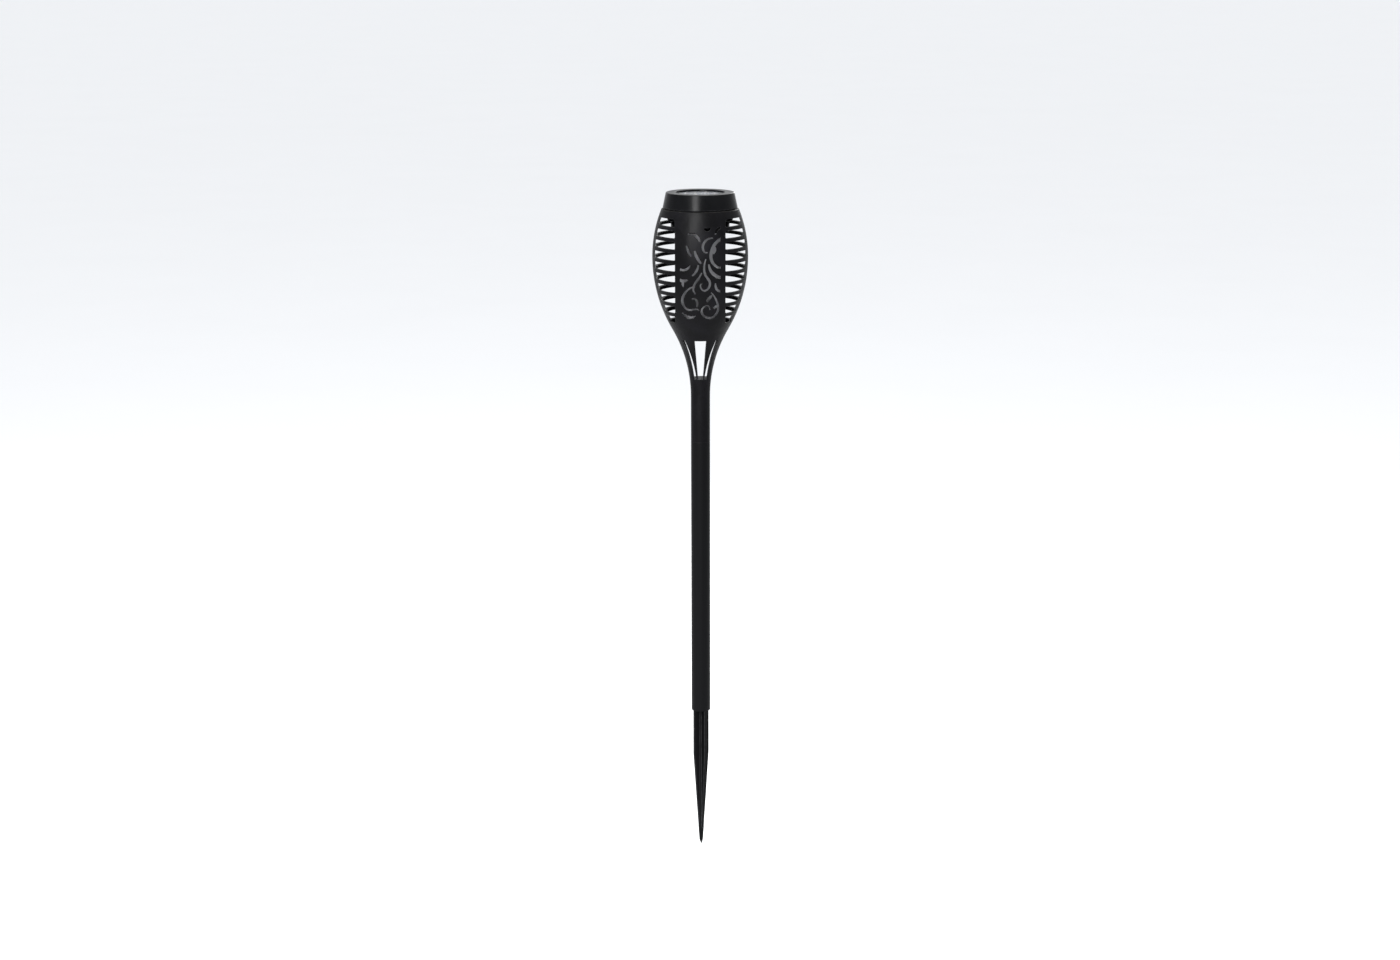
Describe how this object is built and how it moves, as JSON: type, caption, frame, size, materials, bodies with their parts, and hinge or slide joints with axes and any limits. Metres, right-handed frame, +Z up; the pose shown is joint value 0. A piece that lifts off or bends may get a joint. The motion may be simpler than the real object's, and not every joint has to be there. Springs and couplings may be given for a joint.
{
  "type": "tiki torch",
  "caption": "Solar garden torch with a slotted, scroll-cut barrel lantern on a strutted neck, a lift-off solar cap, a thin pole and a ground spike.",
  "frame": {"origin": "on the torch's axis at ground level, where the pole ends and the spike begins", "axes": "+Z up along the pole; -Y is the front, which faces one of the two scroll panels; +X to the right seen from the front"},
  "size_m": [0.056, 0.056, 0.4],
  "materials": {
    "shade_plastic": "satin black moulded plastic",
    "cap_plastic": "satin black moulded plastic",
    "pole_plastic": "satin black moulded plastic",
    "spike_plastic": "matt black moulded plastic",
    "seal_rubber": "matt black rubber",
    "clear_resin": "glossy clear resin",
    "solar_cell": "dark blue silicon with fine silver lines",
    "circuit_board": "green lacquered board",
    "flex_board": "white lacquered flexible board",
    "lamp_plastic": "yellow phosphor in a white lamp body",
    "frosted_plastic": "frosted translucent plastic",
    "battery_sleeve": "green shrink sleeve",
    "nickel_strip": "plain nickel strip",
    "screw_steel": "bright plated steel",
    "component_plastic": "matt black component plastic",
    "inner_plastic": "white moulded plastic",
    "button_plastic": "black moulded plastic",
    "wire_insulation": "red insulation"
  },
  "bodies": {
    "stake": {"ground_spike": "spike_plastic"},
    "pole": {"pole_tube": "pole_plastic"},
    "lantern": {"shade_front_half": "shade_plastic", "shade_back_half": "shade_plastic", "neck_spigot": "pole_plastic"},
    "cap_seal": {"seal_ring": "seal_rubber"},
    "solar_cap": {"cap_housing": "cap_plastic", "cap_base": "cap_plastic", "cap_screws": "screw_steel", "solar_board": "circuit_board", "solar_cells": "solar_cell", "solar_resin": "clear_resin", "solar_leads": "wire_insulation", "main_board": "circuit_board", "board_parts": "component_plastic", "battery_cell": "battery_sleeve", "battery_cradle": "inner_plastic", "battery_tabs": "nickel_strip", "switch_body": "component_plastic", "switch_feet": "nickel_strip", "switch_leads": "wire_insulation", "led_post": "inner_plastic", "led_wrap": "flex_board", "leds": "lamp_plastic", "diffuser_tube": "frosted_plastic", "diffuser_end": "frosted_plastic"},
    "switch_key": {"switch_button": "button_plastic"}
  },
  "joints": [
    {"name": "pole_lift", "type": "slide", "parent": "stake", "child": "pole", "axis": [0, 0, 1], "range_m": [0, 0.045]},
    {"name": "lantern_lift", "type": "slide", "parent": "pole", "child": "lantern", "axis": [0, 0, 1], "range_m": [0, 0.035]},
    {"name": "cap_lift", "type": "slide", "parent": "lantern", "child": "cap_seal", "axis": [0, 0, 1], "range_m": [0, 0.085]},
    {"name": "cap_twist", "type": "hinge", "parent": "cap_seal", "child": "solar_cap", "pos_m": [0, 0, 0.3046], "axis": [0, 0, 1], "range_deg": [0, 25]},
    {"name": "button_press", "type": "slide", "parent": "solar_cap", "child": "switch_key", "axis": [0, 0, 1], "range_m": [0, 0.001], "stiffness_N_per_m": 300, "springref_m": -0.001}
  ]
}
